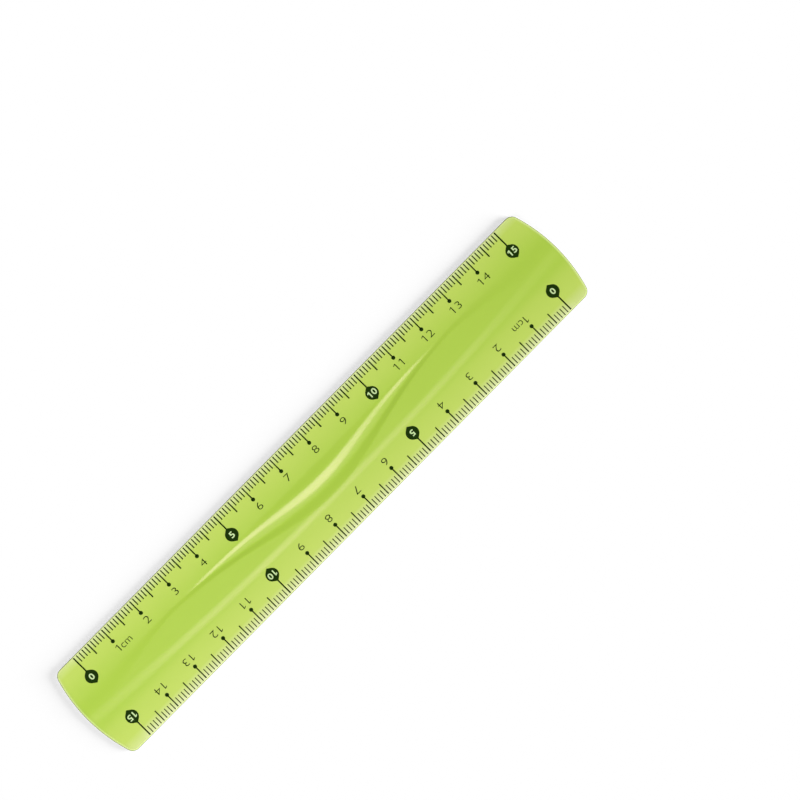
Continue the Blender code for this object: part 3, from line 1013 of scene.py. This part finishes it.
class RULER_OT_markers(bpy.types.Operator):
    """Prints the large markers at every fifth centimetre, with their pale figures"""

    bl_idname = "ruler.markers"
    bl_label = "Print the markers"

    def outline(self, sizes, inset):
        """A round head drawn out to a point at each end, with its line to the edge, about its own centre."""
        radius, tip = sizes.marker_radius, sizes.marker_tip
        stem = sizes.marker_line_width / 2
        first = math.acos(radius / tip)
        angles = np.linspace(first, math.pi - first, MARKER_SIDES // 2)
        side = [(radius * math.sin(a), radius * math.cos(a)) for a in angles]
        shoulder = tip - stem * (tip - side[0][1]) / side[0][0]
        edge = sizes.marker_centre - inset
        right = [(stem, edge), (stem, shoulder), *side]
        return right + [(0, -tip)] + [(-x, y) for x, y in reversed(right)]

    def execute(self, context):
        scene = context.scene
        sizes, ink = scene.ruler_figures, scene.ruler_ink
        bottom, top = ink_film(ink, FACE_HEIGHT)
        bm = bmesh.new()
        low = [bm.verts.new((x, y, bottom)) for x, y in self.outline(sizes, scene.ruler_scales.inset)]
        underside = bm.faces.new(reversed(low))
        raised = bmesh.ops.extrude_face_region(bm, geom=[underside])["geom"]
        moved = [v for v in raised if isinstance(v, bmesh.types.BMVert)]
        bmesh.ops.translate(bm, vec=(0, 0, top - bottom), verts=moved)
        head = bpy.data.meshes.new("marker")
        bm.to_mesh(head)
        bm.free()
        markers, figures = bmesh.new(), bmesh.new()
        for reading in range(0, MILLIMETRES // LINES_PER_CM + 1, CM_PER_MARKER):
            place_on_scales(markers, head, reading, sizes.marker_centre)
            figure = figure_mesh(
                number_curves(reading),
                sizes.marker_figure_height,
                sizes.marker_figure_stretch,
                sizes.marker_figure_weight,
                ink_film(ink, top),
            )
            place_on_scales(figures, figure, reading, sizes.marker_centre)
        finish_print(markers, "markers", bpy.data.materials[BLACK_INK], "marker")
        pale = screen_ink("pale_screen_ink", ink.pale_colour, ink.pale_roughness, ink)
        finish_print(figures, "marker_figures", pale, None)
        return {"FINISHED"}


class RULER_OT_figures(bpy.types.Operator):
    """Prints the plain figures beside the dots, and the unit after the first"""

    bl_idname = "ruler.figures"
    bl_label = "Print the figures"

    def execute(self, context):
        sizes = context.scene.ruler_figures
        height, weight = sizes.figure_height, sizes.figure_weight
        film = ink_film(context.scene.ruler_ink, FACE_HEIGHT)
        bm = bmesh.new()
        for reading in range(1, MILLIMETRES // LINES_PER_CM):
            if reading % CM_PER_MARKER:
                figure = figure_mesh(number_curves(reading), height, sizes.figure_stretch, weight, film)
                place_on_scales(bm, figure, reading, sizes.figure_centre)
        unit = figure_mesh([write("cm")], height, sizes.unit_stretch, weight, film)
        unit.transform(Matrix.Translation((sizes.unit_offset, 0, 0)))
        place_on_scales(bm, unit, 1, sizes.figure_centre)
        finish_print(bm, "figures", bpy.data.materials[BLACK_INK], None)
        return {"FINISHED"}


# The stage


class RULER_OT_stage(bpy.types.Operator):
    """Sets the floor, the lamps, the surroundings and the camera"""

    bl_idname = "ruler.stage"
    bl_label = "Set the stage"

    def add_floor(self, stage):
        half = stage.floor_size / 2
        corners = [(-half, -half, 0), (half, -half, 0), (half, half, 0), (-half, half, 0)]
        mesh = bpy.data.meshes.new("floor")
        mesh.from_pydata(corners, [], [(0, 1, 2, 3)])
        floor = bpy.data.objects.new("floor", mesh)
        bpy.context.scene.collection.objects.link(floor)
        paper, tree, shader = new_material("white_paper")
        fill(tree, shader, {"Base Color": (*stage.paper_colour, 1), "Roughness": stage.paper_roughness})
        mesh.materials.append(paper)
        floor.is_shadow_catcher = True

    def add_surroundings(self, stage):
        """White where the camera, gloss or clear plastic looks, and a plain grey light for the rest."""
        world = bpy.data.worlds.new("surroundings")
        world.use_nodes = True
        tree = world.node_tree
        tree.nodes.clear()
        seen = add_formula(
            tree,
            dict(add(tree, "ShaderNodeLightPath").outputs.items()),
            [
                ("direct", "MAXIMUM", "Is Camera Ray", "Is Glossy Ray"),
                ("seen", "MAXIMUM", "direct", "Is Transmission Ray"),
            ],
        )["seen"]
        light = add(tree, "ShaderNodeBackground", {"Color": (1, 1, 1, 1), "Strength": stage.ambient})
        white = add(tree, "ShaderNodeBackground", {"Color": (1, 1, 1, 1), "Strength": 1.0})
        mixed = add(tree, "ShaderNodeMixShader", {0: seen, 1: light.outputs[0], 2: white.outputs[0]})
        add(tree, "ShaderNodeOutputWorld", {0: mixed.outputs[0]})
        bpy.context.scene.world = world

    def add_lamp(self, name, place, size, power):
        """A soft square lamp that looks at the ruler."""
        light = bpy.data.lights.new(name, "AREA")
        light.size = size
        light.energy = power
        lamp = bpy.data.objects.new(name, light)
        lamp.location = place
        lamp.rotation_euler = Vector(place).to_track_quat("Z", "Y").to_euler()
        bpy.context.scene.collection.objects.link(lamp)
        return lamp

    def add_camera(self, stage):
        """Looks straight down, turned so that the ruler lies slantwise in the picture."""
        data = bpy.data.cameras.new("camera")
        data.lens = stage.lens_mm
        camera = bpy.data.objects.new("camera", data)
        turn = Matrix.Rotation(stage.turn, 4, "Z")
        distance = stage.view_width * stage.lens_mm / data.sensor_width
        aim = turn @ Vector((stage.aim_right, stage.aim_up, 0))
        camera.matrix_world = Matrix.Translation(aim + Vector((0, 0, distance))) @ turn
        bpy.context.scene.collection.objects.link(camera)
        bpy.context.scene.camera = camera

    def execute(self, context):
        stage = context.scene.ruler_stage
        self.add_floor(stage)
        self.add_surroundings(stage)
        side = self.add_lamp("side_lamp", stage.side_place, stage.side_size, stage.side_power)
        gloss = self.add_lamp("gloss_lamp", stage.gloss_place, stage.gloss_size, stage.gloss_power)
        high = self.add_lamp("fill_lamp", stage.fill_place, stage.fill_size, stage.fill_power)
        side.visible_glossy = high.visible_glossy = False
        # Neither casts a shadow: they stand for the light that the plastic lets through to the paper under it
        gloss.data.use_shadow = high.data.use_shadow = False
        self.add_camera(stage)
        context.scene.view_settings.view_transform = "Standard"
        return {"FINISHED"}


class RULER_PT_panel(bpy.types.Panel):
    """Lists the ruler's steps, and the sizes and colours that they use"""

    bl_idname = "RULER_PT_panel"
    bl_label = "Ruler"
    bl_space_type = "VIEW_3D"
    bl_region_type = "UI"
    bl_category = "Ruler"

    def draw(self, context):
        for operator in OPERATORS:
            self.layout.operator(operator.bl_idname)
        for name, group in GROUPS.items():
            box = self.layout.box()
            for size in group.__annotations__:
                box.prop(getattr(context.scene, name), size)


OPERATORS = (RULER_OT_blade, RULER_OT_graduations, RULER_OT_markers, RULER_OT_figures, RULER_OT_stage)
CLASSES = (*GROUPS.values(), *OPERATORS, RULER_PT_panel)


def register():
    for made in CLASSES:
        bpy.utils.register_class(made)
    for name, group in GROUPS.items():
        setattr(bpy.types.Scene, name, PointerProperty(type=group))


def unregister():
    for name in GROUPS:
        delattr(bpy.types.Scene, name)
    for made in reversed(CLASSES):
        bpy.utils.unregister_class(made)


def main():
    register()
    bpy.ops.ruler.blade()
    bpy.ops.ruler.graduations()
    bpy.ops.ruler.markers()
    bpy.ops.ruler.figures()
    bpy.ops.ruler.stage()


if __name__ == "__main__":
    main()
